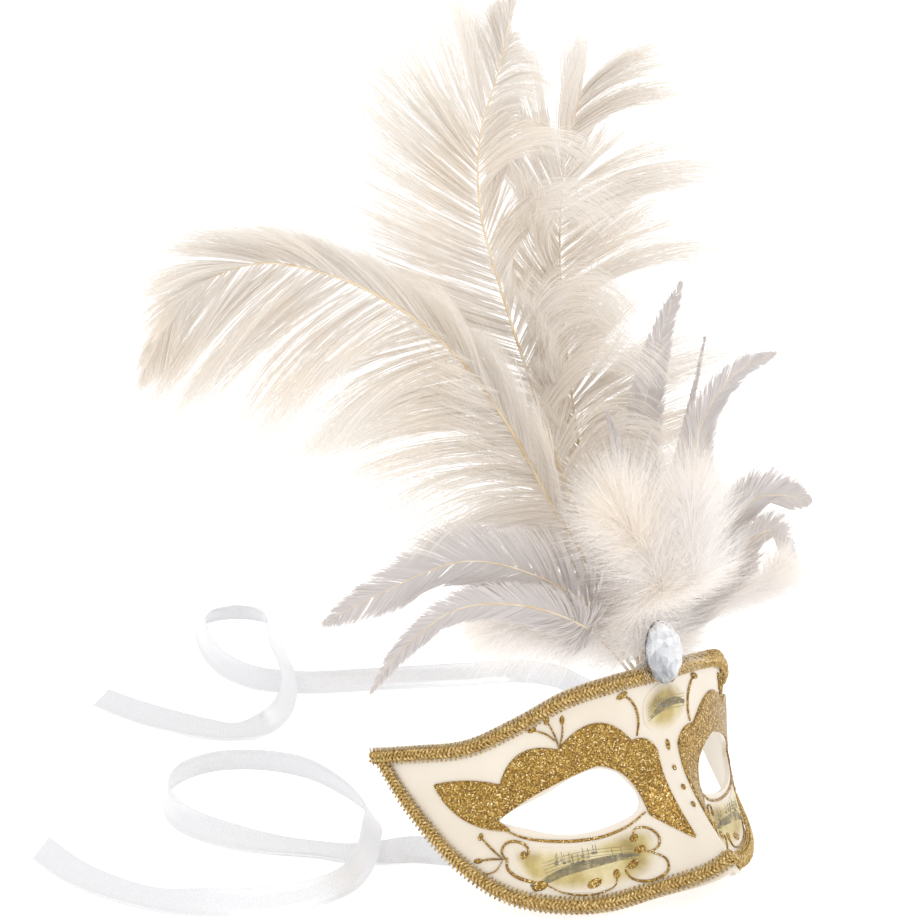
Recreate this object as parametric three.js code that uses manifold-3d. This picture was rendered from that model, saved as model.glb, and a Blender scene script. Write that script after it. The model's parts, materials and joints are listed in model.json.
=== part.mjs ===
// Venetian half mask with a plume of feathers and two satin tie ribbons.
// Millimetres, +Z up. The wearer looks along -Y, +X is the wearer's left.
// The origin is the point on the eye line, on the midline, where the bridge of
// the wearer's nose sits. The mask leans back a little, as it does on a face.

import * as THREE from 'three';
import { mergeVertices } from 'three/addons/utils/BufferGeometryUtils.js';
import Module from 'manifold-3d';

const wasm = await Module();
wasm.setup();

// ---- driving dimensions ----

const HALF_WIDTH = 77;        // half width of the brow curve, an ellipse seen from above
const WRAP_DEPTH = 75;        // how far the temples lie behind the brow
const LEAN = THREE.MathUtils.degToRad(6.7);
const BROW_FORWARD = 0.075;   // the forehead leans out by this much per mm of height
const CHEEK_FORWARD = 0.005;  // the cheeks flare out with the square of the drop
const BROW_ROUND = 0.0016;    // and curls back again with the square of the height
const NOSE_DEPTH = 28;
const NOSE_WIDTH = 11;
const NOSE_TOP = 14;          // height where the nose starts to stand out
const NOSE_DROP = 60;         // drop over which it reaches its full depth
const NOSE_FLARE = 0.25;      // how much wider it is at FLARE_DROP
const FLARE_DROP = 45;
const NOSE_ROUND = 1.7;       // power of its cross-section: 2 is round, 1 is sharp
const SHELL = 1.6;            // wall of the moulded shell
const GAP = 0.3;              // air left between touching pieces
const TEMPLE = 114;           // arc length from the midline to the temple corner

const BRAID_WIDTH = 5.6;
const BRAID_THICK = 2.2;
const PAINT = 0.45;           // glitter paint and paper skins
const RIBBON_WIDTH = 10;
const RIBBON_THICK = 0.6;
const TABLE = -45;            // height of the surface that the ribbons lie on

// ---- the curved face of the mask ----

// Half outline of the shell: [arc length from the midline, height above the eye line].
const TOP_EDGE = [[0, 38], [20, 37.5], [40, 34.5], [58, 27], [76, 20], [95, 18], [TEMPLE, 16]];
const LOW_EDGE = [[0, -32], [12, -38.5], [32, -43], [52, -42], [70, -37], [84, -26], [99, -7], [TEMPLE, 14]];

const mix = (a, b, t) => a + (b - a) * t;

const HALVINGS = 24;          // a bisection this long is exact enough for any edge

function alongEdge(edge, s) {
  const curve = new THREE.SplineCurve(edge.map(([x, y]) => new THREE.Vector2(x, y)));
  let low = 0;
  let high = 1;
  for (let i = 0; i < HALVINGS; i++) {
    const middle = (low + high) / 2;
    if (curve.getPoint(middle).x < s) low = middle;
    else high = middle;
  }
  return curve.getPoint((low + high) / 2).y;
}

const topEdge = (s) => alongEdge(TOP_EDGE, Math.min(Math.abs(s), TEMPLE));
const lowEdge = (s) => alongEdge(LOW_EDGE, Math.min(Math.abs(s), TEMPLE));

// Arc length along the brow ellipse against its angle, summed once.
const ARC_STEPS = 2000;
const ARC_END = 2;
const arcLength = [0];
for (let i = 1; i <= ARC_STEPS; i++) {
  const t = (i - 0.5) * ARC_END / ARC_STEPS;
  const speed = Math.hypot(HALF_WIDTH * Math.cos(t), WRAP_DEPTH * Math.sin(t));
  arcLength.push(arcLength[i - 1] + speed * ARC_END / ARC_STEPS);
}

function browAngle(s) {
  const length = Math.abs(s);
  let i = 1;
  while (i < ARC_STEPS && arcLength[i] < length) i++;
  const part = (length - arcLength[i - 1]) / (arcLength[i] - arcLength[i - 1]);
  return Math.sign(s) * (i - 1 + part) * ARC_END / ARC_STEPS;
}

function nose(s, h) {
  const grown = THREE.MathUtils.smoothstep(NOSE_TOP - h, 0, NOSE_DROP);
  const width = NOSE_WIDTH * (1 + NOSE_FLARE * THREE.MathUtils.clamp(-h / FLARE_DROP, 0, 1));
  return NOSE_DEPTH * grown * Math.exp(-Math.pow(Math.abs(s) / width, NOSE_ROUND));
}

function facePoint(s, h) {
  const t = browAngle(s);
  const up = Math.max(h, 0);
  const down = Math.max(-h, 0);
  const forward = BROW_FORWARD * up - BROW_ROUND * up * up + CHEEK_FORWARD * down * down + nose(s, h);
  const y = WRAP_DEPTH * (1 - Math.cos(t)) - forward;
  return new THREE.Vector3(
    HALF_WIDTH * Math.sin(t),
    y * Math.cos(LEAN) + h * Math.sin(LEAN),
    h * Math.cos(LEAN) - y * Math.sin(LEAN),
  );
}

function faceNormal(s, h) {
  const step = 0.5;
  const across = facePoint(s + step, h).sub(facePoint(s - step, h));
  const upward = facePoint(s, h + step).sub(facePoint(s, h - step));
  return across.cross(upward).normalize();
}

// A point at a distance in front of the shell's outer face.
const onFace = (s, h, out = 0) => facePoint(s, h).addScaledVector(faceNormal(s, h), out);

// ---- solids ----

function geometryOf(points, faces) {
  const geometry = new THREE.BufferGeometry();
  geometry.setAttribute('position', new THREE.Float32BufferAttribute(points.flatMap((p) => [p.x, p.y, p.z]), 3));
  geometry.setIndex(faces.flat());
  geometry.computeVertexNormals();
  return geometry;
}

function solidOf(geometry) {
  const bare = geometry.clone();
  bare.deleteAttribute('normal');
  bare.deleteAttribute('uv');
  const merged = mergeVertices(bare, 1e-4);
  const solid = new wasm.Manifold(new wasm.Mesh({
    numProp: 3,
    vertProperties: merged.attributes.position.array,
    triVerts: new Uint32Array(merged.index.array),
  }));
  return solid;
}

function geometryOfSolid(solid) {
  const mesh = solid.getMesh();
  const geometry = new THREE.BufferGeometry();
  geometry.setAttribute('position', new THREE.Float32BufferAttribute(mesh.vertProperties, 3));
  geometry.setIndex([...mesh.triVerts]);
  geometry.computeVertexNormals();
  return geometry;
}

// A curved layer over part of the face, between two distances in front of it.
function layer(sFrom, sTo, low, top, inner, outer, columns, rows) {
  const points = [];
  for (const out of [inner, outer]) {
    for (let i = 0; i <= columns; i++) {
      const s = mix(sFrom, sTo, i / columns);
      for (let j = 0; j <= rows; j++) points.push(onFace(s, mix(low(s), top(s), j / rows), out));
    }
  }
  const side = (columns + 1) * (rows + 1);
  const at = (k, i, j) => k * side + i * (rows + 1) + j;
  const faces = [];
  const quad = (a, b, c, d) => faces.push([a, b, c], [a, c, d]);
  for (let i = 0; i < columns; i++) {
    for (let j = 0; j < rows; j++) {
      quad(at(1, i, j), at(1, i + 1, j), at(1, i + 1, j + 1), at(1, i, j + 1));
      quad(at(0, i, j), at(0, i, j + 1), at(0, i + 1, j + 1), at(0, i + 1, j));
    }
    quad(at(0, i, 0), at(0, i + 1, 0), at(1, i + 1, 0), at(1, i, 0));
    quad(at(1, i, rows), at(1, i + 1, rows), at(0, i + 1, rows), at(0, i, rows));
  }
  for (let j = 0; j < rows; j++) {
    quad(at(0, 0, j), at(1, 0, j), at(1, 0, j + 1), at(0, 0, j + 1));
    quad(at(1, columns, j), at(0, columns, j), at(0, columns, j + 1), at(1, columns, j + 1));
  }
  return geometryOf(points, faces);
}

const PLUG_REACH = 7;         // how far a cutting plug stands out on both sides of the face

// A plug through the face. Its outline is a closed loop of [s, h] points, smoothed if steps is given.
function plug(outline, steps) {
  const corners = outline.map(([s, h]) => new THREE.Vector3(s, h, 0));
  const curve = new THREE.CatmullRomCurve3(corners, true, 'centripetal');
  const ring = (steps ? curve.getPoints(steps).slice(0, -1) : corners).map((p) => new THREE.Vector2(p.x, p.y));
  if (THREE.ShapeUtils.isClockWise(ring)) ring.reverse();
  const caps = THREE.ShapeUtils.triangulateShape(ring, []);
  const count = ring.length;
  const points = [-PLUG_REACH, PLUG_REACH].flatMap((out) => ring.map((p) => onFace(p.x, p.y, out)));
  const faces = caps.map(([a, b, c]) => [a + count, b + count, c + count]);
  caps.forEach(([a, b, c]) => faces.push([a, c, b]));
  for (let i = 0; i < count; i++) {
    const j = (i + 1) % count;
    faces.push([i, j, j + count], [i, j + count, i + count]);
  }
  return solidOf(geometryOf(points, faces));
}

// Sweeps a closed section along a line. frames: {at, side, up}; section(i): list of [side, up].
function sweep(frames, section) {
  const points = [];
  frames.forEach((frame, i) => section(i).forEach(([a, b]) => {
    points.push(frame.at.clone().addScaledVector(frame.side, a).addScaledVector(frame.up, b));
  }));
  const count = section(0).length;
  const faces = [];
  for (let i = 0; i < frames.length - 1; i++) {
    for (let j = 0; j < count; j++) {
      const k = (j + 1) % count;
      const [a, b] = [i * count + j, i * count + k];
      faces.push([a, b, b + count], [a, b + count, a + count]);
    }
  }
  const last = (frames.length - 1) * count;
  for (let j = 1; j < count - 1; j++) {
    faces.push([0, j + 1, j], [last, last + j, last + j + 1]);
  }
  const geometry = geometryOf(points, faces);
  return solidOf(geometry).volume() < 0 ? geometryOf(points, faces.map(([a, b, c]) => [a, c, b])) : geometry;
}

// An oval section, as [side, up] points.
function oval(halfWidth, halfHeight, count) {
  return Array.from({ length: count }, (_, j) => {
    const angle = 2 * Math.PI * j / count;
    return [halfWidth * Math.cos(angle), halfHeight * Math.sin(angle)];
  });
}

// ---- nodes ----

const object = new THREE.Group();

function add(name, geometry, colour, roughness, metalness = 0) {
  const mesh = new THREE.Mesh(geometry, new THREE.MeshStandardMaterial({ color: colour, roughness, metalness }));
  mesh.name = name;
  object.add(mesh);
}

const SIDES = [['right', -1], ['left', 1]];   // the wearer's right is -X

const EYE = [[66, -9], [48, -0.5], [38, 4.2], [30, 5.6], [22, 2.4], [15.4, -6.5],
  [17, -11.6], [30, -15.8], [45, -15.9], [57, -12.6]];

function maskShell() {
  let shell = solidOf(layer(-TEMPLE, TEMPLE, lowEdge, topEdge, -SHELL, 0, 64, 10));
  for (const [, side] of SIDES) shell = shell.subtract(plug(EYE.map(([s, h]) => [side * s, h]), 36));
  add('mask_shell', geometryOfSolid(shell), 0xf1eadb, 0.4);
}

// Gold braid glued on the front face, along the upper and the lower edge.
function edgeBraid(name, edge, inward, end) {
  const steps = 64;
  const half = BRAID_WIDTH / 2;
  const frames = Array.from({ length: steps + 1 }, (_, i) => {
    const s = mix(-end, end, i / steps);
    const h = edge(s);
    const slope = edge(s + 0.5) - edge(s - 0.5);
    const drop = inward * half * Math.hypot(1, slope);
    const out = GAP + BRAID_THICK / 2;
    const at = onFace(s, h + drop, out);
    const up = faceNormal(s, h + drop);
    const along = onFace(s + 0.5, edge(s + 0.5) + drop, out).sub(onFace(s - 0.5, edge(s - 0.5) + drop, out));
    return { at, up, side: up.clone().cross(along).normalize() };
  });
  add(name, sweep(frames, () => oval(half, BRAID_THICK / 2, 6)), 0xb98a3a, 0.45, 0.6);
}

// A closed outline of curved stretches. Each point is [s, h, bulge]: the next stretch rises by
// bulge to the left of its straight line, as a parabola.
function bulged(outline) {
  const steps = 8;
  return outline.flatMap(([s, h, bulge], i) => {
    const [nextS, nextH] = outline[(i + 1) % outline.length];
    if (!bulge) return [[s, h]];
    const length = Math.hypot(nextS - s, nextH - h);
    return Array.from({ length: steps }, (_, k) => {
      const t = k / steps;
      const rise = 4 * bulge * t * (1 - t) / length;
      return [mix(s, nextS, t) - (nextH - h) * rise, mix(h, nextH, t) + (nextS - s) * rise];
    });
  });
}

// Glitter paint above each eye: three scallops, a long tail and a point beside the nose.
const GLITTER = [[88, 4, -1.6], [64.5, 3.4, -6], [44, 14, -8], [16, 13, -2.2], [5.6, 8, 0], [5, -21.5, 0],
  [13.4, -13, 5], [30, 7.2, 2.2], [67, -9, 0], [63, -12.4, -4.6]];

function skin(name, outline, steps, inner, colour, roughness, metalness) {
  const reach = outline.map(([s]) => s);
  const heights = outline.map(([, h]) => h);
  const [from, to] = [Math.min(...reach) - 1, Math.max(...reach) + 1];
  const [low, top] = [Math.min(...heights) - 1, Math.max(...heights) + 1];
  const columns = Math.ceil((to - from) / 3.6);
  const sheet = solidOf(layer(from, to, () => low, () => top, inner, inner + PAINT, columns, 6));
  add(name, geometryOfSolid(sheet.intersect(plug(outline, steps))), colour, roughness, metalness);
}

// Scraps of sheet-music paper glued on the cheeks and between the brows.
const CHEEK_PAPER = [[63, -20], [40, -20.5], [15, -18], [18, -32], [40, -36], [60, -31]];
const BROW_PAPER = [[-9, 27], [3, 31.5], [13, 22], [3, 14], [-9, 17]];

// ---- jewel and the card that the feathers are glued to ----

const CREST = onFace(0, 41);                      // just above the middle of the top edge
const JEWEL_OFFSET = new THREE.Vector3(-3.5, 0, 2.8);   // its middle, from the crest
const JEWEL_HALF = [8.6, 12.4];
const JEWEL_TURN = THREE.MathUtils.degToRad(20);
const JEWEL_BACK = 3.8;                           // distance in front of the crest
const FOIL = 1;
const CARD = 0.6;
const CARD_BACK = 3.2;                            // distance behind the crest
const QUILL = 0.7;                                // radius of a bare quill
const QUILL_ROWS = [-7.9, -6.2, -4.5];            // distances in front of the crest, so behind it
const QUILL_START = 7;                            // how far below the crest the quills end
const QUILL_HIDDEN = 4;                           // length of quill that the shell hides

// A stack of oval slices facing -Y: profile lists [scale of the oval, distance forward].
function ovalStack(centre, half, turn, profile, count) {
  const frames = profile.map(([, forward]) => ({
    at: centre.clone().add(new THREE.Vector3(0, -forward, 0)),
    side: new THREE.Vector3(Math.cos(turn), 0, Math.sin(turn)),
    up: new THREE.Vector3(-Math.sin(turn), 0, Math.cos(turn)),
  }));
  return sweep(frames, (i) => oval(half[0] * profile[i][0], half[1] * profile[i][0], count));
}

function jewel() {
  const cardCentre = CREST.clone().add(new THREE.Vector3(0, 0, -7));
  const card = [[1, -CARD_BACK], [1, CARD - CARD_BACK]];
  add('feather_card', ovalStack(cardCentre, [11, 6], 0, card, 20), 0xe9e4da, 0.9);
  const centre = CREST.clone().add(JEWEL_OFFSET);
  const foil = [[0.9, JEWEL_BACK], [1, JEWEL_BACK + FOIL]];
  add('jewel_foil_back', ovalStack(centre, JEWEL_HALF, JEWEL_TURN, foil, 20), 0xc9ccd0, 0.25, 1);
  const back = JEWEL_BACK + FOIL + GAP;
  const stone = [[1, back], [1, back + 1], [0.84, back + 2.6], [0.58, back + 3.8]];
  add('jewel_stone', ovalStack(centre, JEWEL_HALF, JEWEL_TURN, stone, 20), 0xf4f6f8, 0.05);
}

// ---- feathers ----

// Each feather is a thin curved blade on a quill. line: [x, z] points from the crest, in an
// upright plane turned by plane degrees about Z. row and root place the quill's end on the
// card; depth is where the blade lies in front of the crest, or behind it when negative.
// half is the blade's half width; it grows to that between the two distances in spread.
const FEATHERS = [
  { name: 'ostrich_plume_right', row: 0, root: 1, depth: -32, plane: -8, half: 36, spread: [30, 70],
    line: [[-3, 22], [-10, 60], [-17, 100], [-21, 140], [-19, 172], [-12, 196]] },
  { name: 'ostrich_plume_centre', row: 0, root: -2, depth: -22, plane: -8, half: 40, spread: [30, 70],
    line: [[-10, 28], [-26, 62], [-40, 97], [-53, 131], [-62, 160], [-62, 184], [-54, 207], [-49, 228]] },
  { name: 'hackle_tall', row: 0, root: 4, depth: -14, plane: 0, half: 9, spread: [28, 50],
    line: [[2, 30], [2, 64], [7, 92], [14, 112], [24, 129]] },
  { name: 'hackle_thin', row: 0, root: 7, depth: -10, plane: 0, half: 5, spread: [28, 50],
    line: [[9, 30], [17, 62], [26, 88], [32, 109]] },
  { name: 'ostrich_plume_left', row: 1, root: -2, depth: -5, plane: -14, half: 35, spread: [30, 70],
    line: [[-18, 22], [-38, 52], [-58, 86], [-78, 112], [-101, 131], [-127, 144], [-152, 149], [-172, 143],
      [-189, 124]] },
  { name: 'hackle_behind', row: 1, root: 1, depth: 0, plane: 0, half: 8, spread: [28, 50],
    line: [[-4, 26], [-16, 60], [-28, 92]] },
  { name: 'hackle_right_high', row: 1, root: 4, depth: 4, plane: -10, half: 11, spread: [28, 50],
    line: [[7, 26], [9, 56], [14, 82], [28, 98], [47, 104]] },
  { name: 'hackle_right', row: 1, root: 7, depth: 8, plane: -10, half: 10, spread: [28, 44],
    line: [[14, 22], [22, 42], [34, 53], [48, 53], [61, 49]] },
  { name: 'hackle_left_high', row: 2, root: -6, depth: 11, plane: -20, half: 13, spread: [28, 50],
    line: [[-22, 14], [-50, 35], [-79, 44], [-107, 37], [-131, 27]] },
  { name: 'marabou_back', row: 2, root: -3.5, depth: 15, plane: 0, half: 24, spread: [22, 44],
    line: [[-10, 22], [-24, 44], [-37, 60]] },
  { name: 'hackle_left_low', row: 2, root: -8.5, depth: 19, plane: -20, half: 9, spread: [28, 50],
    line: [[-24, 9], [-55, 27], [-85, 30], [-105, 18], [-117, 4]] },
  { name: 'hackle_right_low', row: 2, root: 7, depth: 14, plane: -10, half: 9, spread: [28, 44],
    line: [[15, 14], [25, 36], [36, 43], [44, 35], [49, 20]] },
  { name: 'marabou_left', row: 1, root: -5, depth: 6, plane: -20, half: 22, spread: [22, 40],
    line: [[-22, 11], [-44, 17], [-63, 20]] },
  { name: 'marabou_front', row: 2, root: 0, depth: 21, plane: 0, half: 20, spread: [22, 44],
    line: [[-2, 20], [-6, 40], [-8, 60]] },
  { name: 'marabou_right', row: 2, root: 9.5, depth: 26, plane: 0, half: 15, spread: [28, 44],
    line: [[16, 7], [24, 16], [32, 28]] },
];

const FEATHER_STEPS = 18;
const DEPTH_FROM = 15;        // the quill keeps its row this far past the shell, then leans to its depth
const DEPTH_TO = 38;

function feather({ name, row, root, depth, plane, half, spread, line }) {
  const turn = THREE.MathUtils.degToRad(plane);
  const across = new THREE.Vector3(Math.cos(turn), Math.sin(turn), 0);
  const forward = new THREE.Vector3(Math.sin(turn), -Math.cos(turn), 0);
  const start = CREST.clone().add(new THREE.Vector3(root, -QUILL_ROWS[row], -QUILL_START));
  const flat = line.map(([x, z]) => CREST.clone().addScaledVector(across, x).add(new THREE.Vector3(0, 0, z)));
  flat.forEach((p) => p.addScaledVector(forward, QUILL_ROWS[row]));
  const curve = new THREE.CatmullRomCurve3([start, ...flat]);
  const length = curve.getLength();
  const lean = (d) => (depth - QUILL_ROWS[row]) * THREE.MathUtils.smoothstep(d, DEPTH_FROM, DEPTH_TO);
  const frames = [];
  for (let i = 0; i <= FEATHER_STEPS; i++) {
    const t = i / FEATHER_STEPS;
    const tangent = curve.getTangentAt(t);
    const side = forward.clone().cross(tangent).normalize();
    const at = curve.getPointAt(t).addScaledVector(forward, lean(t * length - QUILL_HIDDEN));
    frames.push({ at, side, up: forward });
  }
  const blade = (i) => {
    const t = i / FEATHER_STEPS;
    const grow = THREE.MathUtils.smoothstep(t * length - QUILL_HIDDEN, ...spread);
    const taper = Math.sqrt(Math.max(1 - Math.pow(t, 5), 0));
    return oval(QUILL + half * grow * taper, QUILL, 6);
  };
  add(name, sweep(frames, blade), 0xefe8df, 0.9);
}

// ---- satin tie ribbons ----

// Each point is [x, y, lift, tilt]: lift is the height of the lower edge above the table, and
// tilt turns the ribbon from standing on its edge, 0, to lying flat, 90 degrees.
const RIBBON_RIGHT = [
  [-73, 66, 46, 0], [-70, 60, 38, 0], [-62, 55, 22, 5], [-50, 55, 8, 10], [-41, 62, 2, 15],
  [-40, 73, 0, 20], [-46, 83, 0, 30], [-54, 91, 0, 50], [-60, 100, 0, 65], [-65, 113, 0, 75], [-76, 129, 0, 65],
  [-85, 146, 0, 40], [-86, 168, 0, 25], [-76, 191, 0, 15], [-54, 211, 0, 15], [-34, 214, 0, 20],
  [-20, 204, 0, 20], [-13, 184, 0, 15], [-17, 157, 0, 20], [-30, 127, 2, 30], [-45, 106, 6, 38],
  [-60, 90, 9, 40], [-74, 77, 7, 40], [-88, 70, 3, 30], [-105, 70, 1, 20], [-124, 79, 0, 15],
  [-137, 94, 0, 35], [-143, 110, 0, 60], [-147, 129, 0, 62], [-148, 151, 0, 55], [-143, 179, 0, 45],
];
const RIBBON_LEFT = [
  [73, 66, 46, 0], [78, 78, 38, 0], [90, 97, 24, 5], [109, 123, 10, 10], [130, 155, 3, 10],
  [146, 186, 0, 10], [151, 210, 0, 15], [143, 226, 0, 15], [128, 235, 0, 15], [107, 248, 0, 20],
  [87, 261, 0, 25], [66, 276, 0, 30], [55, 295, 0, 30], [56, 317, 0, 25], [66, 342, 0, 25],
  [80, 366, 0, 25], [93, 383, 0, 30], [106, 392, 0, 35], [118, 390, 0, 35], [121, 377, 1, 35], [113, 357, 3, 35],
  [96, 333, 5, 40],
  [73, 303, 9, 50], [54, 275, 11, 50], [40, 256, 8, 40], [26, 244, 4, 35], [13, 240, 1, 40],
  [3, 247, 0, 65], [-5, 257, 0, 55], [-9, 272, 0, 50], [-12, 290, 0, 45], [-10, 322, 0, 55],
];

const RIBBON_STEPS = 78;

function ribbon(name, route) {
  const halfWidth = RIBBON_WIDTH / 2;
  const halfThick = RIBBON_THICK / 2;
  const tilts = route.map((point) => THREE.MathUtils.degToRad(point[3]));
  const points = route.map(([x, y, lift], i) => {
    const height = halfWidth * Math.cos(tilts[i]) + halfThick;
    return new THREE.Vector3(x, y, TABLE + lift + height);
  });
  const curve = new THREE.CatmullRomCurve3(points);
  const tilt = new THREE.SplineCurve(tilts.map((angle, i) => new THREE.Vector2(i, angle)));
  const frames = Array.from({ length: RIBBON_STEPS + 1 }, (_, i) => {
    const t = i / RIBBON_STEPS;
    const along = curve.getTangent(t);
    const level = along.clone().cross(new THREE.Vector3(0, 0, 1)).normalize();
    const upright = level.clone().cross(along);
    const angle = tilt.getPoint(t).y;
    return {
      at: curve.getPoint(t),
      side: upright.clone().multiplyScalar(Math.cos(angle)).addScaledVector(level, Math.sin(angle)),
      up: level.clone().multiplyScalar(Math.cos(angle)).addScaledVector(upright, -Math.sin(angle)),
    };
  });
  const section = [[-halfWidth, -halfThick], [halfWidth, -halfThick], [halfWidth, halfThick], [-halfWidth, halfThick]];
  add(name, sweep(frames, () => section), 0xf2f2f4, 0.35);
}

// ---- the whole mask ----

maskShell();
edgeBraid('braid_upper', topEdge, -1, TEMPLE - 3);
edgeBraid('braid_lower', lowEdge, 1, TEMPLE - 12);
for (const [label, side] of SIDES) {
  const mirrored = (outline) => outline.map(([s, h]) => [side * s, h]);
  skin(`glitter_${label}`, mirrored(bulged(GLITTER)), 0, GAP, 0xc79a45, 0.4, 0.7);
  skin(`cheek_paper_${label}`, mirrored(CHEEK_PAPER), 32, GAP, 0xdcc98f, 0.7, 0);
}
skin('brow_paper', BROW_PAPER, 28, GAP, 0xdfcf9c, 0.7, 0);
jewel();
FEATHERS.forEach(feather);
ribbon('ribbon_right', RIBBON_RIGHT);
ribbon('ribbon_left', RIBBON_LEFT);

export default object;
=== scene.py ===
"""Looks of the Venetian feather mask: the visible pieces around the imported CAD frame. Metres."""

import json
import math

import bpy
import numpy as np
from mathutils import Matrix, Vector
from mathutils.geometry import delaunay_2d_cdt

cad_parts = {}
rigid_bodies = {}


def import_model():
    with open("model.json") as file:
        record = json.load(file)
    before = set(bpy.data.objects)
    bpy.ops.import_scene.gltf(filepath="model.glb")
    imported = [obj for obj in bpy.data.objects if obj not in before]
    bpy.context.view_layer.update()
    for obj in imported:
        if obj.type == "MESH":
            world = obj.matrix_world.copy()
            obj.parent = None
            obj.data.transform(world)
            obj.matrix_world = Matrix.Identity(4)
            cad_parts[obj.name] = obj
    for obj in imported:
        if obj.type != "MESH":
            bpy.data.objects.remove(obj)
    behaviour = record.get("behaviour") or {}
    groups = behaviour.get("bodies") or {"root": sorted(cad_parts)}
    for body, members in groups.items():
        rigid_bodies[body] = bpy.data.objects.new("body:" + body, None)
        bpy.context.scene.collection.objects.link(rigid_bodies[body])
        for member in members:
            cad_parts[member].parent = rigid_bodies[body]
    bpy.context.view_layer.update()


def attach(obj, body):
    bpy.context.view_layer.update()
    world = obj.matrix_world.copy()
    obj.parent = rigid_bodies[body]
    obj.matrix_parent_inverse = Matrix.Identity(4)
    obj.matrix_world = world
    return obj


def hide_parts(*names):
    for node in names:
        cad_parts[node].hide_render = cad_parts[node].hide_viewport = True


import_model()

MM = 0.001
TABLE = -45.0                      # height of the surface that the ribbons lie on, mm
rng = np.random.default_rng(11)


# ---- camera ----

VIEW_AZIMUTH = math.radians(-47.0)
VIEW_ELEVATION = math.radians(17.8)
CAMERA_DISTANCE = 1.1
VIEW_CENTRE = (-0.0756, 0.1084)    # where the camera looks, across and up from the origin
LENS = 121.0


def make_camera():
    a, e = VIEW_AZIMUTH, VIEW_ELEVATION
    back = Vector((math.sin(a) * math.cos(e), -math.cos(a) * math.cos(e), math.sin(e)))
    right = Vector((math.cos(a), math.sin(a), 0))
    up = back.cross(right)
    camera = bpy.data.objects.new("camera", bpy.data.cameras.new("camera"))
    bpy.context.collection.objects.link(camera)
    camera.data.lens = LENS
    camera.data.sensor_width = 36
    camera.location = back * CAMERA_DISTANCE
    aim = right * VIEW_CENTRE[0] + up * VIEW_CENTRE[1] - camera.location
    camera.rotation_mode = "QUATERNION"
    camera.rotation_quaternion = aim.to_track_quat("-Z", "Y")
    camera.data.clip_start, camera.data.clip_end = 0.05, 20
    bpy.context.scene.camera = camera


make_camera()


# ---- small maths helpers, all lengths in millimetres ----

def unit(v):
    return v / np.maximum(np.linalg.norm(v, axis=-1, keepdims=True), 1e-9)


def smoothstep(x, low, high):
    t = np.clip((x - low) / (high - low), 0, 1)
    return t * t * (3 - 2 * t)


def spline(points, per_span=12):
    """Centripetal Catmull-Rom curve through the points."""
    p = np.asarray(points, float)
    p = np.vstack([2 * p[0] - p[1], p, 2 * p[-1] - p[-2]])
    out = []
    for i in range(1, len(p) - 2):
        quad = p[i - 1:i + 3]
        gaps = np.linalg.norm(np.diff(quad[:, :3], axis=0), axis=1) ** 0.5
        knot = np.concatenate([[0], np.cumsum(np.maximum(gaps, 1e-4))])
        t = np.linspace(knot[1], knot[2], per_span, endpoint=False)[:, None]

        def between(a, b, low, high):
            return ((high - t) * a + (t - low) * b) / (high - low)

        a = [between(quad[k], quad[k + 1], knot[k], knot[k + 1]) for k in range(3)]
        b = [between(a[k], a[k + 1], knot[k], knot[k + 2]) for k in range(2)]
        out.append(between(b[0], b[1], knot[1], knot[2]))
    return np.vstack(out + [p[-2:-1]])


def arc_lengths(points):
    return np.concatenate([[0], np.cumsum(np.linalg.norm(np.diff(points, axis=0), axis=1))])


def resample(points, count):
    """The same line with evenly spaced points."""
    along = arc_lengths(points[:, :3])
    at = np.linspace(0, along[-1], count)
    return np.stack([np.interp(at, along, points[:, k]) for k in range(points.shape[1])], 1)


def tangents(points):
    return unit(np.gradient(points, axis=0))


# ---- mesh helpers ----

def new_piece(name, verts, faces, material, node=None, slot=None, smooth=None, tone=None):
    """A mesh piece from arrays in millimetres. smooth is the sharp-edge angle in degrees."""
    faces = [np.asarray(block, np.int32) for block in faces if len(block)]
    mesh = bpy.data.meshes.new(name)
    mesh.vertices.add(len(verts))
    mesh.vertices.foreach_set("co", (np.asarray(verts, float) * MM).ravel())
    corners = np.concatenate([block.ravel() for block in faces])
    sizes = np.concatenate([np.full(len(block), block.shape[1]) for block in faces])
    mesh.loops.add(len(corners))
    mesh.loops.foreach_set("vertex_index", corners)
    mesh.polygons.add(len(sizes))
    mesh.polygons.foreach_set("loop_start", np.concatenate([[0], np.cumsum(sizes)[:-1]]))
    mesh.update(calc_edges=True)
    mesh.validate()
    if smooth is not None:
        mesh.polygons.foreach_set("use_smooth", np.ones(len(mesh.polygons), bool))
        mesh.set_sharp_from_angle(angle=math.radians(smooth))
    if tone is not None:
        mesh.attributes.new("tone", "FLOAT", "POINT").data.foreach_set("value", np.asarray(tone, float))
    mesh.materials.append(material)
    piece = bpy.data.objects.new(name, mesh)
    bpy.context.collection.objects.link(piece)
    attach(piece, "root")
    if node:
        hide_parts(node)
    return piece


class Build:
    """Gathers vertices, faces and a tone for each vertex into one piece."""

    def __init__(self):
        self.verts, self.faces, self.tones, self.count = [], [], [], 0

    def add(self, verts, faces, tone=0.5):
        self.verts.append(verts)
        self.faces += [np.asarray(block) + self.count for block in faces]
        self.tones.append(np.broadcast_to(tone, len(verts)))
        self.count += len(verts)

    def piece(self, name, material, **options):
        by_size = {}
        for block in self.faces:
            by_size.setdefault(block.shape[1], []).append(block)
        faces = [np.vstack(blocks) for blocks in by_size.values()]
        tone = np.concatenate(self.tones)
        return new_piece(name, np.vstack(self.verts), faces, material, tone=tone, **options)


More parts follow.
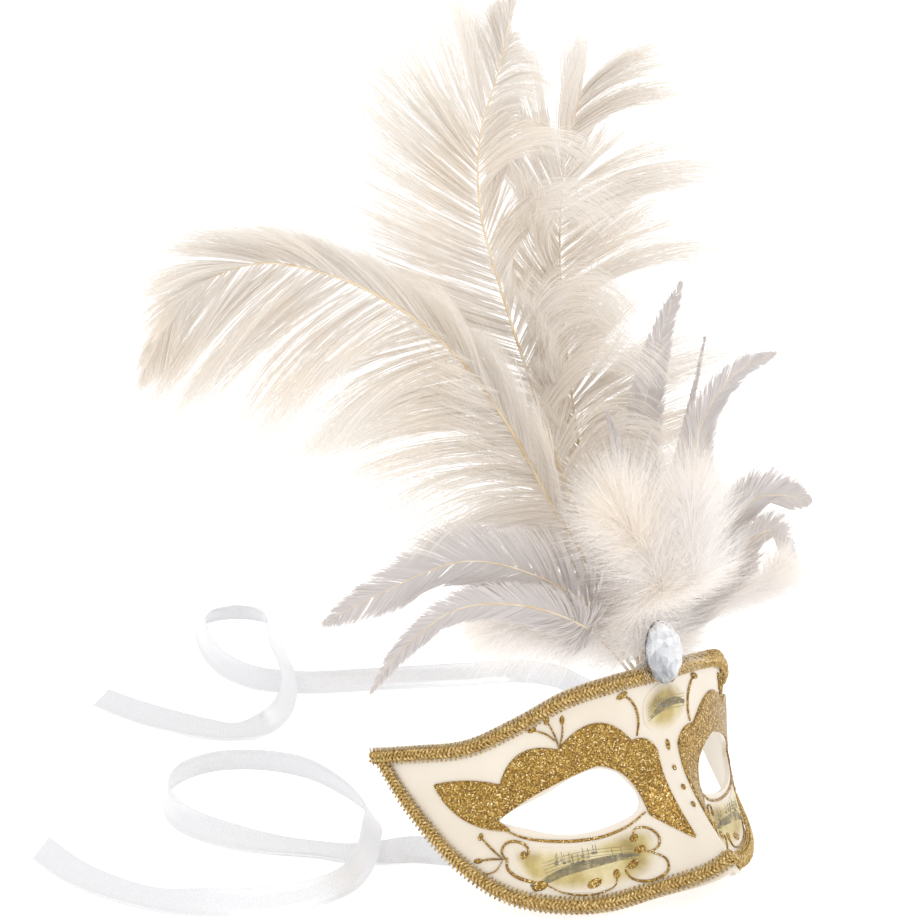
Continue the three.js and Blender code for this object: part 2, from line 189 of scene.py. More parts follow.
def swept(points, side, up, section):
    """Closed sweep. section is (rings, corners, 2): sizes along side and up at each ring."""
    rings, corners = section.shape[:2]
    verts = points[:, None] + side[:, None] * section[..., :1] + up[:, None] * section[..., 1:]
    i, j = np.meshgrid(np.arange(rings - 1), np.arange(corners), indexing="ij")
    k = (j + 1) % corners
    quads = np.stack([i * corners + j, i * corners + k, (i + 1) * corners + k, (i + 1) * corners + j], -1)
    ends = np.array([np.arange(corners)[::-1], (rings - 1) * corners + np.arange(corners)])
    return verts.reshape(-1, 3), [quads.reshape(-1, 4), ends]


def round_section(widths, heights, corners):
    angle = np.arange(corners) * 2 * np.pi / corners
    return np.stack([np.outer(widths, np.cos(angle)), np.outer(heights, np.sin(angle))], -1)


# ---- the curved face, as in the CAD ----

HALF_WIDTH, WRAP_DEPTH = 77.0, 75.0
LEAN = math.radians(6.7)
BROW_FORWARD, BROW_ROUND = 0.075, 0.0016   # the forehead leans out, then curls back again
CHEEK_FORWARD = 0.005                      # the cheeks flare out with the square of the drop
NOSE_DEPTH, NOSE_WIDTH = 28.0, 11.0
NOSE_TOP, NOSE_DROP = 14, 60               # where the nose starts, and its drop to full depth
NOSE_FLARE, FLARE_DROP = 0.25, 45          # how much wider it is after this drop
NOSE_ROUND = 1.7                           # power of its cross-section: 2 is round, 1 is sharp
SHELL = 1.6
TEMPLE = 114.0
TOP_EDGE = [(0, 38), (20, 37.5), (40, 34.5), (58, 27), (76, 20), (95, 18), (114, 16)]
LOW_EDGE = [(0, -32), (12, -38.5), (32, -43), (52, -42), (70, -37), (84, -26), (99, -7), (114, 14)]
EYE = [(66, -9), (48, -0.5), (38, 4.2), (30, 5.6), (22, 2.4), (15.4, -6.5), (17, -11.6),
       (30, -15.8), (45, -15.9), (57, -12.6)]

_angles = np.linspace(0, 2, 2001)
_arcs = arc_lengths(np.stack([HALF_WIDTH * np.sin(_angles), -WRAP_DEPTH * np.cos(_angles)], 1))


def edge_height(edge, s):
    line = spline(edge, 30)
    return np.interp(np.abs(s), line[:, 0], line[:, 1])


def face_base(s, h):
    s, h = np.broadcast_arrays(np.asarray(s, float), np.asarray(h, float))
    t = np.interp(np.abs(s), _arcs, _angles) * np.sign(s)
    up, down = np.maximum(h, 0), np.maximum(-h, 0)
    nose_width = NOSE_WIDTH * (1 + NOSE_FLARE * np.clip(-h / FLARE_DROP, 0, 1))
    nose = NOSE_DEPTH * smoothstep(NOSE_TOP - h, 0, NOSE_DROP)
    nose = nose * np.exp(-(np.abs(s) / nose_width) ** NOSE_ROUND)
    forward = BROW_FORWARD * up - BROW_ROUND * up ** 2 + CHEEK_FORWARD * down ** 2 + nose
    y = WRAP_DEPTH * (1 - np.cos(t)) - forward
    c, n = math.cos(LEAN), math.sin(LEAN)
    return np.stack([HALF_WIDTH * np.sin(t), y * c + h * n, h * c - y * n], -1)


def face_normal(s, h):
    across = face_base(s + 0.5, h) - face_base(s - 0.5, h)
    upward = face_base(s, h + 0.5) - face_base(s, h - 0.5)
    return unit(np.cross(across, upward))


def on_face(s, h, out=0.0):
    s, h = np.asarray(s, float), np.asarray(h, float)
    return face_base(s, h) + face_normal(s, h) * np.asarray(out)[..., None]


def closed_loop(points, per_span=8):
    """A smooth closed outline through the points."""
    p = np.asarray(points, float)
    wrapped = np.vstack([p[-2:], p, p[:3]])
    line = spline(wrapped, per_span)
    return line[2 * per_span:(2 + len(p)) * per_span]


def inside(loop, s, h):
    x0, y0 = loop.T
    x1, y1 = np.roll(loop, -1, axis=0).T
    crossing = (y0 > h[:, None]) != (y1 > h[:, None])
    cut = x0 + (h[:, None] - y0) * (x1 - x0) / np.where(y1 == y0, 1e-9, y1 - y0)
    return (crossing & (s[:, None] < cut)).sum(1) % 2 == 1


def to_loop(loop, points):
    """Distance of each point from the loop."""
    a, b = loop, np.roll(loop, -1, axis=0)
    ab = b - a
    t = ((points[:, None] - a) * ab).sum(-1) / np.maximum((ab ** 2).sum(-1), 1e-9)
    foot = a + np.clip(t, 0, 1)[..., None] * ab
    return np.linalg.norm(points[:, None] - foot, axis=-1).min(1)


def skin(name, outer, holes, inner, out, spacing, material, node, slot, relief=0.0, fade=4.0):
    """A curved closed sheet over a region of the face, with its own edge all round."""
    loops = [outer] + holes
    low, high = outer.min(0), outer.max(0)
    columns, rows = (np.arange(low[k], high[k], spacing) for k in (0, 1))
    grid = np.stack(np.meshgrid(columns, rows), -1)
    grid = grid.reshape(-1, 2) + rng.uniform(-0.2, 0.2, (grid.size // 2, 2)) * spacing
    keep = inside(outer, *grid.T)
    for hole in holes:
        keep &= ~inside(hole, *grid.T)
    grid = grid[keep]
    grid = grid[np.min([to_loop(loop, grid) for loop in loops], axis=0) > spacing * 0.5]
    points = np.vstack(loops + [grid])
    edges, start = [], 0
    for loop in loops:
        count = len(loop)
        edges += [(start + i, start + (i + 1) % count) for i in range(count)]
        start += count
    flat, _, faces, *_ = delaunay_2d_cdt([Vector(p) for p in points], edges, [], 0, 1e-5)
    flat, faces = np.array(flat), np.array(faces)
    middle = flat[faces].mean(1)
    keep = inside(outer, *middle.T)
    for hole in holes:
        keep &= ~inside(hole, *middle.T)
    faces = faces[keep]
    a, b, c = flat[faces].transpose(1, 0, 2)
    turned = (b[:, 0] - a[:, 0]) * (c[:, 1] - a[:, 1]) < (b[:, 1] - a[:, 1]) * (c[:, 0] - a[:, 0])
    faces[turned] = faces[turned][:, ::-1]
    count = len(flat)
    bumps = rng.uniform(0, relief, count) if relief else 0.0
    front = on_face(flat[:, 0], flat[:, 1], out + bumps * np.ones(count))
    back = on_face(flat[:, 0], flat[:, 1], np.full(count, inner))
    sides = np.vstack([faces[:, [0, 1]], faces[:, [1, 2]], faces[:, [2, 0]]])
    seen = {tuple(e) for e in sides.tolist()}
    rim = np.array([e for e in seen if (e[1], e[0]) not in seen])
    walls = np.stack([rim[:, 1], rim[:, 0], rim[:, 0] + count, rim[:, 1] + count], 1)
    edge_fade = np.clip(np.min([to_loop(loop, flat) for loop in loops], axis=0) / fade, 0, 1)
    return new_piece(
        name, np.vstack([front, back]), [faces, faces[:, ::-1] + count, walls], material,
        node=node, slot=slot, smooth=None if relief else 40, tone=np.tile(edge_fade, 2))


# ---- materials ----

def nodes_of(name):
    material = bpy.data.materials.new(name)
    material.use_nodes = True
    tree = material.node_tree
    return material, tree, tree.nodes["Principled BSDF"]


def texture(tree, kind, **inputs):
    """A procedural texture in object coordinates, with its sockets set by name."""
    node = tree.nodes.new(kind)
    coords = tree.nodes.new("ShaderNodeTexCoord")
    tree.links.new(coords.outputs["Object"], node.inputs["Vector"])
    for key, value in inputs.items():
        node.inputs[key.replace("_", " ")].default_value = value
    return node


def ramp(tree, source, stops):
    node = tree.nodes.new("ShaderNodeValToRGB")
    while len(node.color_ramp.elements) < len(stops):
        node.color_ramp.elements.new(0.5)
    for element, (place, colour) in zip(node.color_ramp.elements, stops):
        element.position = place
        element.color = (*colour, 1)
    tree.links.new(source, node.inputs["Fac"])
    return node.outputs["Color"]


def blend(tree, first, second, amount):
    """Mixes two colours; amount is a socket or a number."""
    node = tree.nodes.new("ShaderNodeMix")
    node.data_type = "RGBA"
    for socket, value in ((node.inputs[0], amount), (node.inputs[6], first), (node.inputs[7], second)):
        if isinstance(value, (int, float)):
            socket.default_value = value
        elif isinstance(value, tuple):
            socket.default_value = (*value, 1)
        else:
            tree.links.new(value, socket)
    return node.outputs[2]


def bump(tree, shader, height, strength, distance):
    node = tree.nodes.new("ShaderNodeBump")
    node.inputs["Strength"].default_value = strength
    node.inputs["Distance"].default_value = distance
    tree.links.new(height, node.inputs["Height"])
    tree.links.new(node.outputs["Normal"], shader.inputs["Normal"])


def tone_of(tree):
    node = tree.nodes.new("ShaderNodeAttribute")
    node.attribute_name = "tone"
    return node.outputs["Fac"]


def shell_material():
    material, tree, shader = nodes_of("shell_ivory_paint")
    cloud = texture(tree, "ShaderNodeTexNoise", Scale=28.0, Detail=4.0)
    colour = ramp(tree, cloud.outputs["Fac"], [(0.3, (0.68, 0.60, 0.49)), (0.7, (0.75, 0.68, 0.58))])
    tree.links.new(colour, shader.inputs["Base Color"])
    grain = texture(tree, "ShaderNodeTexNoise", Scale=900.0, Detail=3.0)
    bump(tree, shader, grain.outputs["Fac"], 0.25, 0.0002)
    shader.inputs["Roughness"].default_value = 0.42
    shader.inputs["Coat Weight"].default_value = 0.15
    return material


def glitter_material():
    material, tree, shader = nodes_of("gold_glitter")
    flakes = texture(tree, "ShaderNodeTexVoronoi", Scale=2500.0, Randomness=1.0)
    split = tree.nodes.new("ShaderNodeSeparateColor")
    tree.links.new(flakes.outputs["Color"], split.inputs["Color"])
    # Flake colours from dark brown to pale cream: partly the glitter's own random tone, partly painted
    # light, as the palest flakes are painted glints that stand in for sparkle.
    stops = [(0.0, (0.11, 0.05, 0.008)), (0.4, (0.27, 0.145, 0.02)), (0.75, (0.42, 0.25, 0.045)),
             (0.93, (0.72, 0.50, 0.15)), (1.0, (0.98, 0.86, 0.56))]
    tree.links.new(ramp(tree, split.outputs["Red"], stops), shader.inputs["Base Color"])
    bump(tree, shader, split.outputs["Green"], 0.8, 0.0003)
    shader.inputs["Metallic"].default_value = 0.45
    shader.inputs["Roughness"].default_value = 0.33
    return material


def paper_material():
    material, tree, shader = nodes_of("aged_score_paper")
    stain = texture(tree, "ShaderNodeTexNoise", Scale=55.0, Detail=5.0, Roughness=0.6)
    yellow = ramp(tree, stain.outputs["Fac"], [(0.34, (0.28, 0.20, 0.06)), (0.48, (0.46, 0.36, 0.13)),
                                               (0.66, (0.66, 0.57, 0.33))])
    tree.links.new(blend(tree, (0.72, 0.645, 0.54), yellow, tone_of(tree)), shader.inputs["Base Color"])
    fibre = texture(tree, "ShaderNodeTexNoise", Scale=1400.0, Detail=2.0)
    bump(tree, shader, fibre.outputs["Fac"], 0.3, 0.0002)
    shader.inputs["Roughness"].default_value = 0.5
    return material


def ink_material():
    material, tree, shader = nodes_of("faded_ink")
    fade = texture(tree, "ShaderNodeTexNoise", Scale=300.0, Detail=2.0)
    colour = ramp(tree, fade.outputs["Fac"], [(0.35, (0.10, 0.09, 0.07)), (0.7, (0.32, 0.28, 0.20))])
    tree.links.new(colour, shader.inputs["Base Color"])
    shader.inputs["Roughness"].default_value = 0.6
    return material


def wash_material():
    """Ink wash that the paper shows through in patches."""
    material, tree, shader = nodes_of("ink_wash")
    cloud = texture(tree, "ShaderNodeTexNoise", Scale=160.0, Detail=5.0, Roughness=0.7)
    colour = ramp(tree, cloud.outputs["Fac"], [(0.4, (0.16, 0.135, 0.08)), (0.65, (0.36, 0.31, 0.18))])
    tree.links.new(colour, shader.inputs["Base Color"])
    cover = ramp(tree, cloud.outputs["Fac"], [(0.44, (0.8, 0.8, 0.8)), (0.66, (0.0, 0.0, 0.0))])
    tree.links.new(cover, shader.inputs["Alpha"])
    shader.inputs["Roughness"].default_value = 0.6
    return material


def braid_material():
    material, tree, shader = nodes_of("gold_gimp_thread")
    thread = texture(tree, "ShaderNodeTexNoise", Scale=1100.0, Detail=3.0)
    colour = ramp(tree, thread.outputs["Fac"], [(0.3, (0.22, 0.12, 0.025)), (0.5, (0.50, 0.33, 0.105)),
                                                (0.7, (0.86, 0.69, 0.36))])
    tree.links.new(colour, shader.inputs["Base Color"])
    bump(tree, shader, thread.outputs["Fac"], 0.7, 0.0004)
    shader.inputs["Metallic"].default_value = 0.45
    shader.inputs["Roughness"].default_value = 0.38
    return material


def feather_material(name, dark, light, through, glow):
    """Matt keratin that lets light through. through is the translucent share, and glow is a small emission
    that keeps the shaded side pale."""
    material, tree, shader = nodes_of(name)
    cloud = texture(tree, "ShaderNodeTexNoise", Scale=30.0, Detail=2.0)
    shade = ramp(tree, tone_of(tree), [(0.0, dark), (1.0, light)])
    warm = tuple(c * f for c, f in zip(light, (0.99, 0.95, 0.88)))
    fac = ramp(tree, cloud.outputs["Fac"], [(0.45, (0, 0, 0)), (0.75, (0.6, 0.6, 0.6))])
    colour = blend(tree, shade, warm, fac)
    tree.links.new(colour, shader.inputs["Base Color"])
    shader.inputs["Roughness"].default_value = 0.75
    shader.inputs["Specular IOR Level"].default_value = 0.2
    # Painted light: this emission makes the barbs glow a little, so their shaded side stays pale.
    tree.links.new(colour, shader.inputs["Emission Color"])
    shader.inputs["Emission Strength"].default_value = glow
    clear = tree.nodes.new("ShaderNodeBsdfTranslucent")
    tree.links.new(colour, clear.inputs["Color"])
    mixed = tree.nodes.new("ShaderNodeMixShader")
    mixed.inputs["Fac"].default_value = through
    tree.links.new(shader.outputs["BSDF"], mixed.inputs[1])
    tree.links.new(clear.outputs["BSDF"], mixed.inputs[2])
    tree.links.new(mixed.outputs["Shader"], tree.nodes["Material Output"].inputs["Surface"])
    return material


def shaft_material():
    material, tree, shader = nodes_of("quill_horn")
    cloud = texture(tree, "ShaderNodeTexNoise", Scale=120.0, Detail=2.0)
    colour = ramp(tree, cloud.outputs["Fac"], [(0.3, (0.62, 0.46, 0.26)), (0.7, (0.80, 0.70, 0.54))])
    tree.links.new(colour, shader.inputs["Base Color"])
    shader.inputs["Roughness"].default_value = 0.4
    return material


def satin_material():
    material, tree, shader = nodes_of("white_satin")
    weave = texture(tree, "ShaderNodeTexNoise", Scale=2200.0, Detail=1.0)
    colour = ramp(tree, weave.outputs["Fac"], [(0.3, (0.73, 0.73, 0.745)), (0.7, (0.83, 0.83, 0.845))])
    tree.links.new(colour, shader.inputs["Base Color"])
    bump(tree, shader, weave.outputs["Fac"], 0.15, 0.0001)
    shader.inputs["Roughness"].default_value = 0.32
    shader.inputs["Metallic"].default_value = 0.35
    shader.inputs["Anisotropic"].default_value = 0.5
    return material


def stone_material():
    material, tree, shader = nodes_of("foiled_cut_stone")
    # Painted reflections and shade: the facet greys follow the tone that jewel() sets for each facet,
    # lighter towards +X and the top, darker towards -X and the bottom.
    painted_reflection_greys = [(0.0, (0.20, 0.21, 0.23)), (0.5, (0.62, 0.63, 0.65)), (1.0, (0.98, 0.98, 1.0))]
    facet = ramp(tree, tone_of(tree), painted_reflection_greys)
    streak = texture(tree, "ShaderNodeTexNoise", Scale=90.0, Detail=1.0)
    dim = ramp(tree, streak.outputs["Fac"], [(0.4, (0.75, 0.76, 0.78)), (0.6, (1, 1, 1))])
    node = tree.nodes.new("ShaderNodeMix")
    node.data_type, node.blend_type = "RGBA", "MULTIPLY"
    node.inputs[0].default_value = 1
    tree.links.new(facet, node.inputs[6])
    tree.links.new(dim, node.inputs[7])
    tree.links.new(node.outputs[2], shader.inputs["Base Color"])
    shader.inputs["Metallic"].default_value = 0.6
    shader.inputs["Roughness"].default_value = 0.06
    shader.inputs["Coat Weight"].default_value = 1
    shader.inputs["Coat Roughness"].default_value = 0.02
    return material


def foil_material():
    material, tree, shader = nodes_of("silver_foil")
    crease = texture(tree, "ShaderNodeTexNoise", Scale=700.0, Detail=2.0)
    colour = ramp(tree, crease.outputs["Fac"], [(0.3, (0.45, 0.45, 0.47)), (0.7, (0.82, 0.83, 0.85))])
    tree.links.new(colour, shader.inputs["Base Color"])
    shader.inputs["Metallic"].default_value = 0.9
    shader.inputs["Roughness"].default_value = 0.22
    return material


def card_material():
    material, tree, shader = nodes_of("white_card")
    pulp = texture(tree, "ShaderNodeTexNoise", Scale=600.0, Detail=3.0)
    colour = ramp(tree, pulp.outputs["Fac"], [(0.3, (0.78, 0.74, 0.68)), (0.7, (0.88, 0.85, 0.80))])
    tree.links.new(colour, shader.inputs["Base Color"])
    shader.inputs["Roughness"].default_value = 0.9
    return material


SHELL_PAINT = shell_material()
GLITTER_GOLD = glitter_material()
PAPER = paper_material()
INK = ink_material()
BRAID_GOLD = braid_material()
OSTRICH = feather_material("ostrich_barbs", (0.76, 0.72, 0.67), (0.84, 0.80, 0.755), 0.45, 0.13)
HACKLE = feather_material("hackle_barbs", (0.63, 0.595, 0.58), (0.74, 0.70, 0.685), 0.4, 0.1)
DOWN = feather_material("marabou_down", (0.86, 0.84, 0.825), (0.93, 0.91, 0.895), 0.6, 0.17)
QUILL_HORN = shaft_material()
WASH = wash_material()
SATIN = satin_material()
STONE = stone_material()


# ---- ribbons ----

RIBBON_WIDTH, RIBBON_THICK = 10.0, 0.6
# x, y, lift of the lower edge above the table, tilt from standing on edge; mm and degrees.
RIBBON_RIGHT = [
    (-73, 66, 46, 0), (-70, 60, 38, 0), (-62, 55, 22, 5), (-50, 55, 8, 10), (-41, 62, 2, 15),
    (-40, 73, 0, 20), (-46, 83, 0, 30), (-54, 91, 0, 50), (-60, 100, 0, 65), (-65, 113, 0, 75),
    (-76, 129, 0, 65), (-85, 146, 0, 40), (-86, 168, 0, 25), (-76, 191, 0, 15), (-54, 211, 0, 15),
    (-34, 214, 0, 20), (-20, 204, 0, 20), (-13, 184, 0, 15), (-17, 157, 0, 20), (-30, 127, 2, 30),
    (-45, 106, 6, 38), (-60, 90, 9, 40), (-74, 77, 7, 40), (-88, 70, 3, 30), (-105, 70, 1, 20),
    (-124, 79, 0, 15), (-137, 94, 0, 35), (-143, 110, 0, 60), (-147, 129, 0, 62),
    (-148, 151, 0, 55), (-143, 179, 0, 45),
]
RIBBON_LEFT = [
    (73, 66, 46, 0), (78, 78, 38, 0), (90, 97, 24, 5), (109, 123, 10, 10), (130, 155, 3, 10),
    (146, 186, 0, 10), (151, 210, 0, 15), (143, 226, 0, 15), (128, 235, 0, 15), (107, 248, 0, 20),
    (87, 261, 0, 25), (66, 276, 0, 30), (55, 295, 0, 30), (56, 317, 0, 25), (66, 342, 0, 25),
    (80, 366, 0, 25), (93, 383, 0, 30), (106, 392, 0, 35), (118, 390, 0, 35), (121, 377, 1, 35),
    (113, 357, 3, 35), (96, 333, 5, 40), (73, 303, 9, 50), (54, 275, 11, 50), (40, 256, 8, 40),
    (26, 244, 4, 35), (13, 240, 1, 40), (3, 247, 0, 65), (-5, 257, 0, 55), (-9, 272, 0, 50),
    (-12, 290, 0, 45), (-10, 322, 0, 55),
]


def ribbon(name, route):
    """A satin strip with two fine selvedges, swept along its route."""
    route = np.array(route, float)
    tilt = np.radians(route[:, 3])
    height = TABLE + route[:, 2] + RIBBON_WIDTH / 2 * np.cos(tilt) + RIBBON_THICK / 2
    line = spline(np.column_stack([route[:, 0], route[:, 1], height, tilt]), 24)
    line = resample(line, 420)
    points, angle = line[:, :3], line[:, 3:]
    along = tangents(points)
    level = unit(np.cross(along, (0, 0, 1)))
    upright = np.cross(level, along)
    side = upright * np.cos(angle) + level * np.sin(angle)
    up = level * np.cos(angle) - upright * np.sin(angle)
    half, thick = RIBBON_WIDTH / 2, RIBBON_THICK / 2
    front = [(-half, 0.1), (-half + 0.15, thick), (-half + 0.8, thick), (-half + 1.0, thick * 0.5),
             (-half / 3, thick * 0.55), (half / 3, thick * 0.55),
             (half - 1.0, thick * 0.5), (half - 0.8, thick), (half - 0.15, thick), (half, 0.1)]
    section = np.array(front + [(a, -b) for a, b in front[::-1]])
    shape = np.broadcast_to(section, (len(points), len(section), 2))
    verts, faces = swept(points, side, up, shape)
    piece = new_piece(name + "_satin", verts, faces, SATIN, node=name, slot="satin", smooth=50)


ribbon("ribbon_right", RIBBON_RIGHT)
ribbon("ribbon_left", RIBBON_LEFT)


# ---- the shell and what is painted and glued on it ----

SIDES = (("right", -1), ("left", 1))       # the wearer's right is -X
GLITTER = [(88, 4, -1.6), (64.5, 3.4, -6), (44, 14, -8), (16, 13, -2.2), (5.6, 8, 0), (5, -21.5, 0),
           (13.4, -13, 5), (30, 7.2, 2.2), (67, -9, 0), (63, -12.4, -4.6)]
CHEEK_PAPER = [(63, -20), (40, -20.5), (15, -18), (18, -32), (40, -36), (60, -31)]
BROW_PAPER = [(-9, 27), (3, 31.5), (13, 22), (3, 14), (-9, 17)]
GAP = 0.3
PAPER_INNER, PAPER_OUTER = 0.06, 0.16      # the two faces of a paper scrap above the shell


def mirrored(points, side):
    return np.array([(side * s, h) for s, h in points], float)


def bulged(outline, steps=22):
    """A closed outline of parabolas: each point gives the rise of the stretch that follows it."""
    loop = []
    for (s, h, rise), (next_s, next_h, _) in zip(outline, outline[1:] + outline[:1]):
        t = np.arange(steps) / steps
        lift = 4 * rise * t * (1 - t) / math.hypot(next_s - s, next_h - h)
        loop.append(np.stack([s + (next_s - s) * t - (next_h - h) * lift,
                              h + (next_h - h) * t + (next_s - s) * lift], 1))
    return np.vstack(loop)


def shell():
    s = np.linspace(-TEMPLE, TEMPLE, 191)
    top = np.stack([s, edge_height(TOP_EDGE, s)], 1)
    low = np.stack([s[::-1], edge_height(LOW_EDGE, s[::-1])], 1)
    eyes = [closed_loop(mirrored(EYE, side)) for _, side in SIDES]
    skin("shell_body", np.vstack([low, top]), eyes, -SHELL, 0.0, 1.7, SHELL_PAINT, "mask_shell",
         "shell_plastic")


def glitter_and_paper():
    for label, side in SIDES:
        gold = bulged(GLITTER) * (side, 1)
        skin(f"glitter_paint_{label}", gold, [], GAP * 0.2, 0.55, 0.75, GLITTER_GOLD, f"glitter_{label}",
             "gold_glitter", relief=0.3)
        paper = closed_loop(mirrored(CHEEK_PAPER, side))
        skin(f"score_scrap_{label}", paper, [], PAPER_INNER, PAPER_OUTER, 1.4, PAPER,
             f"cheek_paper_{label}", "score_paper", fade=3.5)
    skin("score_scrap_brow", closed_loop(BROW_PAPER), [], PAPER_INNER, PAPER_OUTER, 1.2, PAPER,
         "brow_paper", "score_paper")


def face_stroke(build, points, width, out=0.3, taper=True, thick=0.45, corners=6):
    """A raised painted line along the face."""
    line = spline(points, 8) if 2 < len(points) < 30 else np.array(points, float)
    line = resample(line, max(6, int(arc_lengths(line)[-1] / 0.5)))
    middle = on_face(line[:, 0], line[:, 1], np.full(len(line), out))
    normal = face_normal(line[:, 0], line[:, 1])
    side = unit(np.cross(normal, tangents(middle)))
    t = np.linspace(0, 1, len(line))
    size = (0.55 + 0.45 * np.sin(np.pi * t)) if taper else np.ones(len(line))
    section = round_section(width / 2 * size, thick * (0.6 + 0.4 * size), corners)
    build.add(*swept(middle, side, normal, section))


def face_dot(build, s, h, width, height, turn=0.0, thick=0.6):
    """A raised drop of paint, round or oval."""
    t = np.linspace(-1, 1, 9)
    c, n = math.cos(turn), math.sin(turn)
    line = np.stack([s + t * height / 2 * -n, h + t * height / 2 * c], 1)
    middle = on_face(line[:, 0], line[:, 1], np.full(9, 0.25))
    normal = face_normal(line[:, 0], line[:, 1])
    side = unit(np.cross(normal, tangents(middle)))
    size = np.sqrt(np.maximum(1 - t ** 2, 0.01))
    build.add(*swept(middle, side, normal, round_section(width / 2 * size, thick * size, 8)))


# Painted lines on one half of the face, as points and a width; then drops at their ends.
STROKES = [
    ([(65, -12.2), (58, -15.6), (49, -17.5), (40, -18.4), (30, -18.2), (21, -16.0), (14.5, -12.2)], 1.1),
    ([(67.5, -22), (70, -19), (73, -15)], 0.8),
    ([(67, -22.4), (71, -22.2), (75.5, -22.6)], 0.8),
    ([(67.5, -23), (71, -26.4), (76.5, -27.4)], 0.5),
    ([(66, -23.2), (67, -19.6), (64.6, -16.8), (61, -16.6), (58, -18.6), (58.4, -21.6), (60.6, -22)], 1.0),
    ([(65.6, -22), (66.4, -25.6), (64.2, -28.4), (60, -30.4), (55, -31.8)], 1.2),
    ([(55, -31.8), (50, -35), (44, -36.6), (37, -36.8), (31, -35), (29.4, -32)], 0.7),
    ([(20.4, -20), (19.6, -17.6), (15.8, -17.4), (13.4, -20), (14, -23.4), (16.8, -25.4),
      (19.4, -24.6)], 0.9),
    ([(17, -25.4), (13.8, -28), (14.6, -32.2), (19.6, -35), (24.6, -33.8), (26, -30.6),
      (23.4, -28.8)], 1.0),
    ([(43.5, 14.5), (44.6, 19), (47, 24.6)], 0.7),
    ([(44.2, 17), (48, 20.4), (52, 22)], 0.7),
    ([(43.2, 15.5), (42, 20), (41.8, 24)], 0.7),
    ([(19.5, 30), (16, 28.4), (13.4, 24.4), (12.6, 19.4), (13.6, 14.6)], 1.0),
]
DROPS = [(73.4, -14.4, 1.8, 3.0, 0.5), (76, -22.7, 1.8, 3.2, 1.5), (59.8, -21.4, 2.2, 3.0, 0.4),
         (57, -32.2, 3.4, 6.0, 1.4), (29.4, -31.4, 2.6, 3.4, 0.3), (20.4, -20.4, 2.6, 3.4, 1.0),
         (19.6, -24.4, 2.4, 4.0, 1.2), (23, -29, 2.6, 4.4, 1.0), (38, -33.4, 3.0, 6.0, 1.3),
         (47.2, 25, 1.8, 3.2, 0.4), (52.6, 22.2, 1.8, 3.2, 1.2), (41.8, 24.6, 1.8, 3.2, 0.1),
         (18.6, 29.8, 2.2, 5.0, 1.2)]


def painted_scrolls():
    for label, side in SIDES:
        build = Build()
        for points, width in STROKES:
            face_stroke(build, mirrored(points, side), width)
        contour = bulged(GLITTER, 12) * (side, 1)
        face_stroke(build, np.vstack([contour, contour[:2]]), 0.9, out=0.35, taper=False)
        for s, h, width, height, turn in DROPS:
            face_dot(build, side * s, h, width, height, side * turn)
        build.piece(f"scroll_paint_{label}", GLITTER_GOLD, slot="gold_glitter", smooth=60)
    build = Build()
    for h, width, height in ((8.8, 1.8, 4.2), (0.8, 1.7, 2.0), (-5.8, 1.8, 2.0), (-11.5, 1.7, 1.9)):
        face_dot(build, 0, h, width, height)
    build.piece("nose_dots", GLITTER_GOLD, slot="gold_glitter", smooth=60)


# Where the dark wash lies on each scrap, from end to end, and its width.
WASHES = (("right", [(-60, -33), (-48, -28.5), (-34, -26.5), (-20, -26)], 5.5),
          ("left", [(60, -33), (48, -28.5), (34, -26.5), (20, -26)], 5.5),
          ("brow", [(-7, 20), (0, 23), (6, 23.6), (11, 22)], 4.5))


def dark_washes():
    """A smear of diluted ink over each scrap, thin as paint."""
    for label, route, width in WASHES:
        build = Build()
        face_stroke(build, route, width, out=0.06, thick=0.14, corners=12)
        build.piece(f"ink_wash_{label}", WASH, slot="score_paper", smooth=60)


def score_marks():
    """Staves with plain notes in faded ink on the scraps: no readable tune."""
    places = [("right", -54, -27, -22, -24), ("left", 54, -27, 22, -24), ("brow", -8, 21, 11, 24)]
    for label, s0, h0, s1, h1 in places:
        build = Build()
        t = np.linspace(0, 1, 14)
        wave = 1.2 * np.sin(t * np.pi * 1.3)
        for line in range(5):
            points = np.stack([s0 + (s1 - s0) * t, h0 + (h1 - h0) * t + wave + (line - 2) * 1.1], 1)
            face_stroke(build, points, 0.16, out=0.17, taper=False, thick=0.05)
        for place in rng.uniform(0.05, 0.95, 9 if label == "brow" else 15):
            s = s0 + (s1 - s0) * place
            h = h0 + (h1 - h0) * place + 1.2 * math.sin(place * math.pi * 1.3) + rng.integers(-2, 3) * 0.55
            face_dot(build, s, h, 0.9, 1.3, 1.2, thick=0.1)
            stem = [(s + 0.4, h), (s + 0.4, h + 1.6), (s + 0.4, h + 3.0)]
            face_stroke(build, stem, 0.2, out=0.18, taper=False, thick=0.05)
        build.piece(f"score_ink_{label}", INK, slot="score_paper", smooth=60)


BRAID_HALF = 2.8
PLAIT_PITCH = 4.2
PICOT_TURNS = 2.4                  # picot loops in one pitch of the plait


